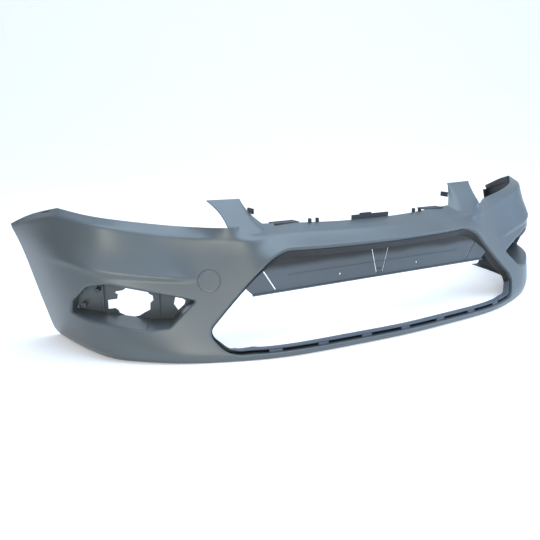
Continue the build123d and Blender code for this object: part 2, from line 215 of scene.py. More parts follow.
def surface(u, t):
    """Points of the fascia, with the relief of its creases."""
    base = plain_surface(u, t)
    height = relief(t, base[:, 0])
    raised = height > 0
    if raised.any():
        step = 0.02
        up, tp = u[raised], t[raised]
        along = plain_surface(up + step, tp) - plain_surface(up - step, tp)
        across = plain_surface(up, tp + step) - plain_surface(up, tp - step)
        n = np.cross(along, across)
        n /= np.linalg.norm(n, axis=1)[:, None] + 1e-9
        n *= np.where(n[:, 1] > 0, -1, 1)[:, None]
        base[raised] += n * height[raised][:, None]
    return base


def plain_surface(u, t):
    """Points of the fascia before its creases: u runs along the feature lines, t from row to row."""
    u = np.clip(u, 0, LAST)
    t = np.clip(t, 0, len(ROWS) - 1)
    rows = np.stack([along_row(k, u) for k in range(len(ROWS))])
    pick = np.arange(len(u))
    k = np.clip(np.floor(t).astype(int), 0, len(ROWS) - 2)
    f = (t - k)[:, None]
    out = rows[k, pick] * (1 - f) + rows[k + 1, pick] * f
    for level in range(1, len(ROWS) - 1):
        soft = softness(level, rows[level][:, 0])
        near = np.abs(t - level) < soft
        if near.any():
            r = soft[near][:, None]
            s = ((t[near] - level)[:, None] + r) / (2 * r)
            mid = rows[level][near]
            a = mid + (rows[level - 1][near] - mid) * r
            c = mid + (rows[level + 1][near] - mid) * r
            out[near] = (1 - s)**2 * a + 2 * s * (1 - s) * mid + s**2 * c
    return out


def surface_normal(u, t):
    du, dt = 0.02, 0.02
    along = surface(u + du, t) - surface(u - du, t)
    across = surface(u, t + dt) - surface(u, t - dt)
    n = np.cross(along, across)
    return n / np.linalg.norm(n, axis=1)[:, None]


# ---------------------------------------------------------------- outlines
def rounded(points, radii, steps=14):
    """A closed polygon with an arc at each corner."""
    points = np.array(points, float)
    out = []
    for i, corner in enumerate(points):
        before = points[i - 1] - corner
        after = points[(i + 1) % len(points)] - corner
        la, lb = np.linalg.norm(before), np.linalg.norm(after)
        before, after = before / la, after / lb
        half = math.acos(np.clip(before @ after, -1, 1)) / 2
        reach = min(radii[i] / math.tan(half), 0.49 * la, 0.49 * lb)
        radius = reach * math.tan(half)
        middle = (before + after) / np.linalg.norm(before + after)
        centre = corner + middle * radius / math.sin(half)
        start = corner + before * reach - centre
        end = corner + after * reach - centre
        for s in np.linspace(0, 1, steps):
            v = start * (1 - s) + end * s
            out.append(centre + v / np.linalg.norm(v) * radius)
    return np.array(out)


def signed_distance(points, outline):
    """Distance outside a closed outline, negative inside."""
    a, b = outline, np.roll(outline, -1, axis=0)
    best = np.full(len(points), 1e9)
    inside = np.zeros(len(points), bool)
    for p, q in zip(a, b):
        edge = q - p
        w = points - p
        s = np.clip((w @ edge) / (edge @ edge + 1e-12), 0, 1)
        best = np.minimum(best, np.linalg.norm(w - s[:, None] * edge, axis=1))
        crosses = (p[1] > points[:, 1]) != (q[1] > points[:, 1])
        x = p[0] + (points[:, 1] - p[1]) * edge[0] / (edge[1] if edge[1] else 1e-12)
        inside ^= crosses & (points[:, 0] < x)
    return np.where(inside, -best, best)


def mirrored_outline(half, radii):
    left = [(-x, z) for x, z in reversed(half)]
    return rounded(half + left, radii + radii[::-1])


GRILLE = mirrored_outline(GRILLE_CORNERS, GRILLE_RADII)
FOG = rounded(FOG_OUTLINE, FOG_RADII)


def fog_axes(side):
    across = np.array([side * math.cos(FOG_TURN), math.sin(FOG_TURN), 0])
    outward = np.array([side * math.sin(FOG_TURN), -math.cos(FOG_TURN), 0])
    origin = np.array([side * FOG_CENTRE[0], FOG_CENTRE[1] - DEPTH / 2, FOG_CENTRE[2]])
    return origin, across, outward


def fog_local(points, side):
    origin, across, outward = fog_axes(side)
    w = points - origin
    return np.c_[w @ across, w[:, 2], w @ outward]


def tow_distance(points):
    centre = np.array(TOW_CENTRE) - [0, DEPTH / 2, 0]
    axis = np.array(TOW_OUTWARD)
    w = points - centre
    return np.linalg.norm(w - np.outer(w @ axis, axis), axis=1)


FAR = 1e3                                   # a field's value where its cut doesn't apply


def fields(points):
    """One signed field per cut, positive where the skin stays."""
    out = [signed_distance(points[:, [0, 2]], GRILLE) - ROLL_RADIUS]
    for side in (-1, 1):
        local = fog_local(points, side)
        out.append(np.where(points[:, 0] * side > 0, signed_distance(local[:, :2], FOG) - FOG_RIM_CUT, FAR))
    out.append(np.where(points[:, 0] < 0, tow_distance(points) - TOW_RADIUS - TOW_GAP, FAR))
    arch = points[:, 1:] - [ARCH_CENTRE[0] - DEPTH / 2, ARCH_CENTRE[1]]
    out.append(np.linalg.norm(arch, axis=1) - ARCH_RADIUS)
    return np.stack(out)


def cap_field(points):
    return np.stack([np.where(points[:, 0] < 0, TOW_RADIUS - tow_distance(points), -FAR)])


# ---------------------------------------------------------------- clipping the surface to its outline
def parameter_grid(u_range=(0, LAST), u_steps=U_STEPS, strips=STRIP_STEPS, t_range=None):
    if t_range:
        t = np.linspace(*t_range, 40)
    else:
        parts = [np.linspace(k, k + 1, n, endpoint=False) for k, n in enumerate(strips)]
        t = np.concatenate(parts + [[len(strips)]])
    u = np.linspace(*u_range, u_steps)
    uu, tt = np.meshgrid(u, t)
    w = len(u)
    quads = [(j * w + i, j * w + i + 1, (j + 1) * w + i + 1, (j + 1) * w + i)
             for j in range(len(t) - 1) for i in range(w - 1)]
    tris = [t3 for a, b, c, d in quads for t3 in ((a, b, c), (a, c, d))]
    return np.c_[uu.ravel(), tt.ravel()], tris


def zero_points(params, field, pairs, inside):
    """The points where the fields reach zero on edges from a kept to a cut vertex, by halving."""
    a = params[[p[0] if inside[p[0]] else p[1] for p in pairs]]
    b = params[[p[1] if inside[p[0]] else p[0] for p in pairs]]
    for _ in range(14):
        middle = (a + b) / 2
        keep = field(surface(middle[:, 0], middle[:, 1])).min(axis=0) > 0
        a = np.where(keep[:, None], middle, a)
        b = np.where(keep[:, None], b, middle)
    return (a + b) / 2


def clipped(params, tris, field):
    """Keeps the part of the grid where every field is positive, cut exactly along each zero line."""
    inside = field(surface(params[:, 0], params[:, 1])).min(axis=0) > 0
    pairs = sorted({(min(a, b), max(a, b)) for tri in tris for a, b in zip(tri, tri[1:] + tri[:1])
                    if inside[a] != inside[b]})
    cuts = {pair: len(params) + k for k, pair in enumerate(pairs)}
    params = np.vstack([params, zero_points(params, field, pairs, inside)])
    kept = []
    for tri in tris:
        keep = [inside[i] for i in tri]
        if all(keep):
            kept.append(tri)
        elif any(keep):
            ring = []
            for i in range(3):
                a, b = tri[i], tri[(i + 1) % 3]
                if keep[i]:
                    ring.append(a)
                if keep[i] != keep[(i + 1) % 3]:
                    ring.append(cuts[(min(a, b), max(a, b))])
            kept += [(ring[0], ring[i], ring[i + 1]) for i in range(1, len(ring) - 1)]
    used = sorted({i for tri in kept for i in tri})
    index = {old: new for new, old in enumerate(used)}
    return params[used], [tuple(index[i] for i in tri) for tri in kept]


def boundary_loops(tris):
    """Closed chains of boundary vertices, each in the direction its triangles give it."""
    edges = {}
    for a, b, c in tris:
        for e in ((a, b), (b, c), (c, a)):
            edges[e] = True
    follow = {a: b for (a, b) in edges if (b, a) not in edges}
    loops = []
    while follow:
        start = next(iter(follow))
        loop = [start]
        nxt = follow.pop(start)
        while nxt != start and nxt in follow:
            loop.append(nxt)
            nxt = follow.pop(nxt)
        loops.append(loop)
    return loops


# ---------------------------------------------------------------- mesh helpers
def mesh_object(name, verts, faces, materials, face_material=None, smooth=True):
    """A mesh object in metres from millimetre points."""
    mesh = bpy.data.meshes.new(name)
    mesh.from_pydata([tuple(v) for v in np.asarray(verts) * MM], [], [tuple(f) for f in faces])
    for material in materials:
        mesh.materials.append(material)
    if face_material is not None:
        mesh.polygons.foreach_set("material_index", face_material)
    mesh.polygons.foreach_set("use_smooth", [smooth] * len(mesh.polygons))
    mesh.update()
    obj = bpy.data.objects.new(name, mesh)
    bpy.context.collection.objects.link(obj)
    return obj


def into_hole(points, normals):
    """Unit vectors at a loop's points, in the surface and away from the kept side."""
    along = np.roll(points, -1, axis=0) - np.roll(points, 1, axis=0)
    m = -np.cross(normals, along)
    m /= np.linalg.norm(m, axis=1)[:, None] + 1e-12
    for _ in range(3):
        m = (np.roll(m, 1, axis=0) + 2 * m + np.roll(m, -1, axis=0)) / 4
        m -= (m * normals).sum(axis=1)[:, None] * normals
        m /= np.linalg.norm(m, axis=1)[:, None] + 1e-12
    return m


class Shell:
    """Collects vertices and faces of one piece."""

    def __init__(self):
        self.verts, self.faces, self.slots = [], [], []

    def add(self, points):
        first = len(self.verts)
        self.verts.extend([np.asarray(p, float) for p in points])
        return list(range(first, len(self.verts)))

    def face(self, ring, slot=0):
        self.faces.append(tuple(ring))
        self.slots.append(slot)

    def bridge(self, a, b, slot=0):
        """Faces between two closed rings of the same length."""
        for i in range(len(a)):
            j = (i + 1) % len(a)
            self.face((a[j], a[i], b[i], b[j]), slot)

    def block(self, points):
        """Six faces over eight corners, given with the last axis varying fastest."""
        corners = self.add(points)
        for quad in ((0, 1, 3, 2), (4, 6, 7, 5), (0, 4, 5, 1), (2, 3, 7, 6), (0, 2, 6, 4), (1, 5, 7, 3)):
            self.face([corners[i] for i in quad])

    def object(self, name, materials, smooth=True):
        return mesh_object(name, np.array(self.verts), self.faces, materials, self.slots, smooth=smooth)


def face_outwards(obj):
    """Winds every face of a closed piece outwards."""
    mesh = bmesh.new()
    mesh.from_mesh(obj.data)
    bmesh.ops.recalc_face_normals(mesh, faces=mesh.faces)
    mesh.to_mesh(obj.data)
    mesh.free()


def finish_edges(obj, angle=35):
    """Smooth shading that keeps the real edges crisp."""
    bpy.context.view_layer.objects.active = obj
    obj.select_set(True)
    bpy.ops.object.shade_smooth_by_angle(angle=math.radians(angle))
    obj.select_set(False)
    return obj


def flat_region(outline, holes):
    """Triangles of a flat outline with holes, as 2-D points and faces."""
    points, edges = [], []
    for ring in [outline] + holes:
        first = len(points)
        points += [Vector((float(x), float(y))) for x, y in ring]
        edges += [(first + i, first + (i + 1) % len(ring)) for i in range(len(ring))]
    verts, _, faces, _, _, _ = delaunay_2d_cdt(points, edges, [], 0, 1e-4)
    verts = np.array([(v.x, v.y) for v in verts])
    kept = []
    for face in faces:
        centre = verts[list(face)].mean(axis=0)[None]
        if signed_distance(centre, np.array(outline, float))[0] < 0 and all(
            signed_distance(centre, np.array(h, float))[0] > 0 for h in holes
        ):
            kept.append(tuple(face))
    return verts, kept


def slab(shell, verts, faces, lift, thickness, slot=0):
    """A flat region as a closed plate; lift turns 2-D points and a depth into space."""
    front = shell.add([lift(x, y, 0) for x, y in verts])
    back = shell.add([lift(x, y, thickness) for x, y in verts])
    edges = {}
    for f in faces:
        shell.face([front[i] for i in f], slot)
        shell.face([back[i] for i in reversed(f)], slot)
        for i in range(len(f)):
            edges[(f[i], f[(i + 1) % len(f)])] = True
    for a, b in edges:
        if (b, a) not in edges:
            shell.face((front[b], front[a], back[a], back[b]), slot)


# ---------------------------------------------------------------- materials
def node(tree, kind, **values):
    n = tree.nodes.new(kind)
    for key, value in values.items():
        setattr(n, key, value)
    return n


def surface_material(name, colour, roughness, metallic=0.0, coat=0.0, grain=700.0, bump=0.04, spread=0.06,
                     lip_shade=None):
    """A moulded or painted surface: mottled colour, uneven gloss, and fine relief."""
    material = bpy.data.materials.new(name)
    material.use_nodes = True
    tree = material.node_tree
    tree.nodes.clear()
    out = node(tree, "ShaderNodeOutputMaterial")
    bsdf = node(tree, "ShaderNodeBsdfPrincipled")
    bsdf.inputs["Metallic"].default_value = metallic
    bsdf.inputs["Coat Weight"].default_value = coat
    bsdf.inputs["Coat Roughness"].default_value = 0.3
    place = node(tree, "ShaderNodeTexCoord")
    large = node(tree, "ShaderNodeTexNoise")
    large.inputs["Scale"].default_value = 7.0
    large.inputs["Detail"].default_value = 5.0
    fine = node(tree, "ShaderNodeTexNoise")
    fine.inputs["Scale"].default_value = grain
    fine.inputs["Detail"].default_value = 3.0
    for texture in (large, fine):
        tree.links.new(place.outputs["Object"], texture.inputs["Vector"])
    ramp = node(tree, "ShaderNodeValToRGB")
    ramp.color_ramp.elements[0].position = 0.35
    ramp.color_ramp.elements[1].position = 0.65
    ramp.color_ramp.elements[0].color = (*[c * (1 - spread) for c in colour], 1)
    ramp.color_ramp.elements[1].color = (*[c * (1 + spread) for c in colour], 1)
    tree.links.new(large.outputs["Fac"], ramp.inputs["Fac"])
    colour_out = ramp.outputs["Color"]
    # Where given, the colour darkens with height into painted shade.
    if lip_shade:
        colour_out = painted_lip_shade(tree, place, large, colour_out, lip_shade)
    tree.links.new(colour_out, bsdf.inputs["Base Color"])
    gloss = node(tree, "ShaderNodeMapRange")
    gloss.inputs["To Min"].default_value = roughness - 0.05
    gloss.inputs["To Max"].default_value = roughness + 0.06
    tree.links.new(large.outputs["Fac"], gloss.inputs["Value"])
    tree.links.new(gloss.outputs["Result"], bsdf.inputs["Roughness"])
    relief = node(tree, "ShaderNodeBump")
    relief.inputs["Strength"].default_value = bump
    relief.inputs["Distance"].default_value = 0.0004
    tree.links.new(fine.outputs["Fac"], relief.inputs["Height"])
    tree.links.new(relief.outputs["Normal"], bsdf.inputs["Normal"])
    tree.links.new(bsdf.outputs["BSDF"], out.inputs["Surface"])
    return material


def painted_lip_shade(tree, place, noise, primer, lip_shade):
    """Primer that fades into near-black brown between two heights, in metres: painted shade under the grille's
    top lip.
    """
    low, high, shade_colour = lip_shade
    split = node(tree, "ShaderNodeSeparateXYZ")
    tree.links.new(place.outputs["Object"], split.inputs["Vector"])
    ragged = node(tree, "ShaderNodeMath", operation="MULTIPLY_ADD")
    ragged.inputs[1].default_value = 0.02
    tree.links.new(noise.outputs["Fac"], ragged.inputs[0])
    tree.links.new(split.outputs["Z"], ragged.inputs[2])
    fade = node(tree, "ShaderNodeMapRange", interpolation_type="SMOOTHSTEP")
    fade.inputs["From Min"].default_value = low
    fade.inputs["From Max"].default_value = high
    tree.links.new(ragged.outputs["Value"], fade.inputs["Value"])
    mix = node(tree, "ShaderNodeMix", data_type="RGBA")
    tree.links.new(fade.outputs["Result"], mix.inputs["Factor"])
    tree.links.new(primer, mix.inputs["A"])
    mix.inputs["B"].default_value = (*shade_colour, 1)
    return mix.outputs["Result"]


PRIMER_COLOUR = (0.086, 0.101, 0.108)
primer = surface_material("primer", PRIMER_COLOUR, 0.40, metallic=0.25, coat=0.18, grain=900.0, bump=0.05)
# The number plate panel's primer darkens to near-black brown above 200 mm: painted shade under the grille's top
# lip.
panel_primer_shaded = surface_material("panel_primer_shaded", (0.075, 0.088, 0.098), 0.5, grain=700.0, bump=0.08,
                                lip_shade=(0.200, 0.220, (0.014, 0.011, 0.009)))
black = surface_material("black_plastic", (0.016, 0.016, 0.018), 0.55, grain=500.0, bump=0.35, spread=0.2)
rail_grey = surface_material("rail_primer", (0.07, 0.085, 0.11), 0.42, grain=800.0, bump=0.06)
zinc = surface_material("zinc", (0.62, 0.61, 0.57), 0.32, metallic=1.0, grain=300.0, bump=0.1)


# ---------------------------------------------------------------- fascia
FOOT_SINK = 4.0                             # how far a horn's foot goes down into the fascia


def horn(shell, side):
    """A horn beside the bonnet: a rounded face with a ridge, and its flank down to the beam."""
    def at(point):
        return np.array([side * point[0], point[1] - DEPTH / 2, point[2]], float)

    ridge_low, toe, notch, outer, inner = [at(p) for p in HORN_FACE]
    flank = at(HORN_FLANK_FOOT)
    steps = 14
    columns = []
    split = 0.35
    bend = (notch + outer) / 2 + np.array([-side * 13, 0, 6])
    for s in np.linspace(0, 1, steps):
        bow = 4 * s * (1 - s)
        left = flank * (1 - s) + inner * s + np.array([side * 7 * bow, 3 * bow, -5 * bow])
        ridge = ridge_low * (1 - s) + inner * s + np.array([side * 6 * bow, -3 * bow, -5 * bow])
        if s < split:
            right = toe + (notch - toe) * s / split
        else:
            k = (s - split) / (1 - split)
            right = (1 - k)**2 * notch + 2 * k * (1 - k) * bend + k * k * outer
        columns.append([left, ridge, right])
    across = 12
    front = []
    for left, ridge, right in columns:
        row = [left * (1 - f) + ridge * f for f in np.linspace(0, 1, 5)[:-1]]
        row += [ridge * (1 - f) + right * f for f in np.linspace(0, 1, across)]
        for _ in range(2):
            middle = [(row[i - 1] + 2 * row[i] + row[i + 1]) / 4 for i in range(1, len(row) - 1)]
            row = [row[0]] + middle + [row[-1]]
        front.append(row)
    grid = np.array(front)
    normal = np.cross(np.gradient(grid, axis=1), np.gradient(grid, axis=0))
    normal /= np.linalg.norm(normal, axis=2)[:, :, None] + 1e-9
    if normal[:, :, 1].mean() > 0:
        normal = -normal
    rise = np.linspace(0, 1, len(grid))[:, None, None]
    outward = np.linspace(0, 1, grid.shape[1])[None, :, None]
    sink = FOOT_SINK * np.maximum((1 - rise) ** 6, outward ** 6 * (rise < split + 0.02))
    grid = grid - normal * sink
    back = grid - normal * WALL
    rows, cols = grid.shape[:2]
    f = [shell.add(r) for r in grid]
    b = [shell.add(r) for r in back]
    for j in range(rows - 1):
        for i in range(cols - 1):
            shell.face((f[j][i], f[j][i + 1], f[j + 1][i + 1], f[j + 1][i]), 0)
            shell.face((b[j][i], b[j + 1][i], b[j + 1][i + 1], b[j][i + 1]), 1)
    rim = [(j, 0) for j in range(rows)] + [(rows - 1, i) for i in range(1, cols)]
    rim += [(j, cols - 1) for j in range(rows - 2, -1, -1)] + [(0, i) for i in range(cols - 2, 0, -1)]
    for (j, i), (q, p) in zip(rim, rim[1:] + rim[:1]):
        shell.face((f[j][i], f[q][p], b[q][p], b[j][i]), 0)


def label_loop(points):
    """Which cut a loop belongs to: 0 grille, 1 and 2 fog, 3 tow eye, and 4 the outer border."""
    values = np.abs(fields(points))
    means = values.mean(axis=1)
    return int(np.argmin(means[:4])) if means[:4].min() < 1.0 else 4


def rolled_rings(points, normals, hole, radius, depth):
    """Rings of a rim that rolls back over a radius and then runs straight behind the surface."""
    rings = []
    for angle in np.radians((18, 36, 54, 72, 90)):
        rings.append(points + hole * radius * math.sin(angle) - normals * radius * (1 - math.cos(angle)))
    rings.append(rings[-1] - normals * depth)
    return rings


def make_fascia():
    params, tris = clipped(*parameter_grid(), fields)
    outer = surface(params[:, 0], params[:, 1])
    normals = surface_normal(params[:, 0], params[:, 1])
    normals, tris = turned_forwards(outer, tris, normals)
    shell = Shell()
    front = shell.add(outer)
    back = shell.add(outer - normals * WALL)
    for tri in tris:
        shell.face([front[i] for i in tri], 0)
        shell.face([back[i] for i in reversed(tri)], 1)
    fog_loops = {}
    grille_loop = None
    for loop in boundary_loops(tris):
        points, n = outer[loop], normals[loop]
        label = label_loop(points)
        ring, inner = [front[i] for i in loop], [back[i] for i in loop]
        if label == 0:
            hole = into_hole(points, n)
            previous = ring
            for rolled in rolled_rings(points, n, hole, ROLL_RADIUS, RETURN_DEPTH - ROLL_RADIUS):
                current = shell.add(rolled)
                shell.bridge(previous, current, 0)
                previous = current
            shell.bridge(previous, inner, 1)
            grille_loop = (points, n, hole)
        elif label == 3:
            cap_ledge(shell, ring, inner, points, n)
        else:
            shell.bridge(ring, inner, 0)
            if label in (1, 2):
                fog_loops[(-1, 1)[label - 1]] = (points, n)
    for side in (-1, 1):
        horn(shell, side)
    obj = shell.object("fascia", [primer, black])
    finish_edges(obj, 40)
    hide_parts("bumper_skin")
    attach(obj, "cover")
    return grille_loop, fog_loops


LEDGE_WIDTH = 3.0
LEDGE_GAP = 0.4


def cap_ledge(shell, ring, inner, points, n):
    """The dark ledge behind the tow eye cap's edge, which closes the gap around it."""
    hole = into_hole(points, n)
    previous = ring
    for across, behind in ((0, WALL + LEDGE_GAP), (LEDGE_WIDTH, WALL + LEDGE_GAP), (LEDGE_WIDTH, 2 * WALL),
                           (0, 2 * WALL)):
        current = shell.add(points + hole * across - n * behind)
        shell.bridge(previous, current, 1)
        previous = current
    shell.bridge(previous, inner, 1)


def turned_forwards(points, tris, normals):
    """Normals that point out of the cover's front, and triangles wound to match them."""
    if normals[np.argmin(points[:, 1])][1] > 0:
        normals = -normals
    a, b, c = (points[[tri[corner] for tri in tris]] for corner in range(3))
    first = normals[[tri[0] for tri in tris]]
    if (np.cross(b - a, c - a) * first).sum() < 0:
        tris = [tri[::-1] for tri in tris]
    return normals, tris


def make_tow_cap():
    centre_u = LAST / 2 - 5.0
    grid = parameter_grid((centre_u - 1.6, centre_u + 1.6), 90, t_range=(3.2, 4.6))
    params, tris = clipped(*grid, cap_field)
    outer = surface(params[:, 0], params[:, 1])
    n = surface_normal(params[:, 0], params[:, 1])
    n, tris = turned_forwards(outer, tris, n)
    shell = Shell()
    edge = TOW_RADIUS - tow_distance(outer)
    soften = 0.5 * (1 - np.clip(edge / 1.2, 0, 1))[:, None] ** 2
    front, back = shell.add(outer - n * soften), shell.add(outer - n * WALL)
    for tri in tris:
        shell.face([front[i] for i in tri], 0)
        shell.face([back[i] for i in reversed(tri)], 0)
    for loop in boundary_loops(tris):
        shell.bridge([front[i] for i in loop], [back[i] for i in loop], 1)
    obj = finish_edges(shell.object("tow_cap_face", [primer, black]), 40)
    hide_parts("tow_eye_cap")
    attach(obj, "tow_cap")


# ---------------------------------------------------------------- grille surround
SLOT_PITCH = 130.0
SLOT_BRIDGE = 34.0
RAIL_SHADE_HEIGHT = 60.0                             # above this height the rail is black instead of grey primer: painted shade under the grille's top lip


def make_surround(loop):
    """The black frame: a channel behind the rolled edge, and a rounded rail at its inner side."""
    points, n, hole = loop
    start = points + hole * ROLL_RADIUS
    lower = 1 - smoothstep(30, 80, points[:, 2])
    reach = (2.2 + 6.8 * lower)[:, None]
    profile = [
        (0.3, RETURN_DEPTH - 1), (0.3, RETURN_DEPTH + 7), (0.75, RETURN_DEPTH + 7), (0.75, RETURN_DEPTH - 2),
        (0.85, RETURN_DEPTH - 4), (1.0, RETURN_DEPTH - 4.6), (1.15, RETURN_DEPTH - 4),
        (1.22, RETURN_DEPTH - 2),
        (1.22, RETURN_DEPTH + 13), (0.3, RETURN_DEPTH + 15), (-0.3, RETURN_DEPTH + 15),
        (-0.3, RETURN_DEPTH + 2),
    ]
    shell = Shell()
    rings = [shell.add(start + hole * reach * across - n * behind) for across, behind in profile]
    rail = {3, 4, 5, 6, 7}
    high = [z > RAIL_SHADE_HEIGHT for z in points[:, 2]]
    for k in range(len(rings)):
        first = len(shell.faces)
        shell.bridge(rings[k], rings[(k + 1) % len(rings)], 1 if k in rail else 0)
        # Faces above that height take black: painted shade on the upper part of the frame.
        for i, is_shaded in enumerate(high):
            if is_shaded:
                shell.slots[first + i] = 0
    obj = finish_edges(shell.object("grille_surround", [black, rail_grey]), 40)
    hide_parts("grille_frame")
    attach(obj, "cover")
    bridges(points, n, hole, start, reach)


def bridges(points, n, hole, start, reach):
    """Short moulded bridges across the lower channel, with slots between them."""
    shell = Shell()
    low = points[:, 2] < 45
    for middle in np.arange(-3, 4) * SLOT_PITCH:
        near = np.where(low & (np.abs(points[:, 0] - middle) < SLOT_BRIDGE / 2))[0]
        if len(near) < 2:
            continue
        near = near[np.argsort(points[near, 0])]
        corners = []
        for across, behind in ((0.05, RETURN_DEPTH - 5), (0.8, RETURN_DEPTH - 5), (0.8, RETURN_DEPTH + 3),
                               (0.05, RETURN_DEPTH + 3)):
            corners.append(shell.add(start[near] + hole[near] * reach[near] * across - n[near] * behind))
        for k in range(4):
            a, b = corners[k], corners[(k + 1) % 4]
            for i in range(len(near) - 1):
                shell.face((a[i], a[i + 1], b[i + 1], b[i]), 0)
        for i in (0, -1):
            shell.face([c[i] for c in corners], 0)
    obj = shell.object("channel_bridges", [rail_grey])
    face_outwards(obj)
    finish_edges(obj)
    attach(obj, "cover")


# ---------------------------------------------------------------- number plate panel
def strip_hole(a, b, width):
    a, b = np.array(a, float), np.array(b, float)
    along = (b - a) / np.linalg.norm(b - a)
    side = np.array([-along[1], along[0]]) * width / 2
    return [a - side, b - side, b + side, a + side]


def make_panel():
    half = PLATE_HALF
    top = moved_inwards(GRILLE, PLATE_INSET)
    outline = [p for p in dense(top) if p[1] > PLATE_LOW + PLATE_CHAMFER and abs(p[0]) < half]
    outline = sorted_outline(outline)
    first, last = outline[0], outline[-1]
    low_left = (first[0] + PLATE_CHAMFER_RUN, PLATE_LOW)
    low_right = (last[0] - PLATE_CHAMFER_RUN, PLATE_LOW)
    outline = [low_left] + outline + [low_right]
    circle = [(math.cos(a), math.sin(a)) for a in np.linspace(0, 2 * math.pi, 24, endpoint=False)]
    holes = []
    for side in (-1, 1):
        across, height = side * PLATE_SCREW_PLACE[0], PLATE_SCREW_PLACE[1]
        holes.append([(across + PLATE_SCREW_RADIUS * x, height + PLATE_SCREW_RADIUS * z) for x, z in circle])
        for foot, head in SLITS:
            holes.append(strip_hole((side * foot[0], foot[1]), (side * head[0], head[1]), SLIT_WIDTH))
    verts, faces = flat_region(outline, holes)
    front_y = PLATE_SETBACK - DEPTH / 2

    def lift(x, z, depth):
        fold = 3.0 * smoothstep(178.0, 181.0, np.float64(z))
        return (x, front_y + depth + fold * 0.4, z)

    shell = Shell()
    slab(shell, verts, faces, lift, WALL)
    rib(shell, (-half + 40, half - 40), (PLATE_LOW, PLATE_LOW + 3.0), (front_y - 5.0, front_y))
    rib(shell, (-300, 300), (177.6, 179.4), (front_y - 1.0, front_y))
    rib(shell, (-8, 8), (157.0, 158.6), (front_y - 3.0, front_y))
    rib(shell, (-8, 8), (146.0, 147.6), (front_y - 3.0, front_y))
    obj = shell.object("plate_panel", [panel_primer_shaded], smooth=False)
    finish_edges(obj, 30)
    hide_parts("number_plate_panel")
    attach(obj, "cover")


def moved_inwards(outline, inset):
    """The outline moved inwards."""
    along = np.roll(outline, -1, axis=0) - np.roll(outline, 1, axis=0)
    side = np.c_[-along[:, 1], along[:, 0]] / (np.linalg.norm(along, axis=1)[:, None] + 1e-9)
    middle = outline.mean(axis=0)
    if ((middle - outline) * side).sum() < 0:
        side = -side
    return outline + side * inset


def dense(points, parts=8):
    """A closed outline with its long sides divided."""
    return [a * (1 - k / parts) + b * k / parts for a, b in zip(points, np.roll(points, -1, axis=0))
            for k in range(parts)]


def sorted_outline(points):
    return sorted([tuple(p) for p in points], key=lambda p: p[0])


def rib(shell, x, z, y):
    """A small moulded bar between two values on each axis."""
    shell.block([(a, b, c) for a in x for b in y for c in z])


# ---------------------------------------------------------------- fog lamp pockets
def make_pocket(side, loop):
    """A tub that runs back from the rim to a flat wall with the lamp hole, its bosses and a vent."""
    points, n = loop
    origin, across, outward = fog_axes(side)
    local = fog_local(points, side)
    hole = into_hole(points, n)
    rings = [points - n * 0.2]
    for angle in np.radians((30, 60, 90)):
        rings.append(points + FOG_RIM_RADIUS * (hole * math.sin(angle) - n * (1 - math.cos(angle))))
    inner_local = fog_local(rings[-1], side)
    for s in (0.25, 0.5, 0.75, 1.0):
        flat = inner_local.copy()
        flat[:, 2] = inner_local[:, 2] * (1 - s) - FOG_DEPTH * s
        flat[:, :2] *= 1 - FOG_TAPER * s
        rings.append(origin + np.outer(flat[:, 0], across) + np.outer(flat[:, 2], outward)
                     + np.c_[np.zeros((len(flat), 2)), flat[:, 1]])
    shell = Shell()
    drawn = [shell.add(r) for r in rings]
    for a, b in zip(drawn, drawn[1:]):
        shell.bridge(a, b, 0)
    sunk = [points - n * (WALL + SKIN_CLEARANCE)] * 2 + [ring - n * WALL for ring in rings[2:4]]
    outside = [a + outer_shift(a, side) for a in sunk] + [r + outer_shift(r, side) for r in rings[4:]]
    backs = [shell.add(r) for r in outside]
    for a, b in zip(backs, backs[1:]):
        shell.bridge(b, a, 1)
    shell.bridge(drawn[-1], backs[-1], 0)
    shell.bridge(backs[0], drawn[0], 0)
    end = fog_local(rings[-1], side)[:, :2]

    def lift(x, z, depth):
        p = origin + across * x - outward * (FOG_DEPTH + depth)
        return (p[0], p[1], p[2] + z)

    outline = thinned(end, 3.0)
    verts, faces = flat_region(outline, [LAMP_HOLE, LAMP_VENT])
    slab(shell, verts, faces, lift, WALL, 0)
    pocket_details(shell, lift)
    obj = shell.object(("left" if side < 0 else "right") + "_pocket", [primer, black])
    face_outwards(obj)
    finish_edges(obj, 40)
    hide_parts(("left" if side < 0 else "right") + "_fog_pocket")
    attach(obj, "cover")


def outer_shift(ring, side):
    """The tub's wall thickness, away from the middle of the tub."""
    local = fog_local(ring, side)
    away = local[:, :2] - local[:, :2].mean(axis=0)
    away /= np.linalg.norm(away, axis=1)[:, None] + 1e-9
    _, across, _ = fog_axes(side)
    return POCKET_WALL * (np.outer(away[:, 0], across) + np.c_[np.zeros((len(ring), 2)), away[:, 1]])


def thinned(points, spacing):
    kept = [points[0]]
    for p in points[1:]:
        if np.linalg.norm(p - kept[-1]) > spacing:
            kept.append(p)
    if np.linalg.norm(kept[-1] - kept[0]) < spacing:
        kept.pop()
    return [tuple(p) for p in kept]


BOSSES = [(92, 20, 6, 22), (126, -16, 6, 22)]    # beside the lamp hole, as (across, up, radius, height)
POCKET_RIBS = [(80, -34, 30), (-56, -46, 20)]    # as (across, low end, high end)
POCKET_RIB_WIDTH = 2.4
POCKET_RIB_HEIGHT = 9.0


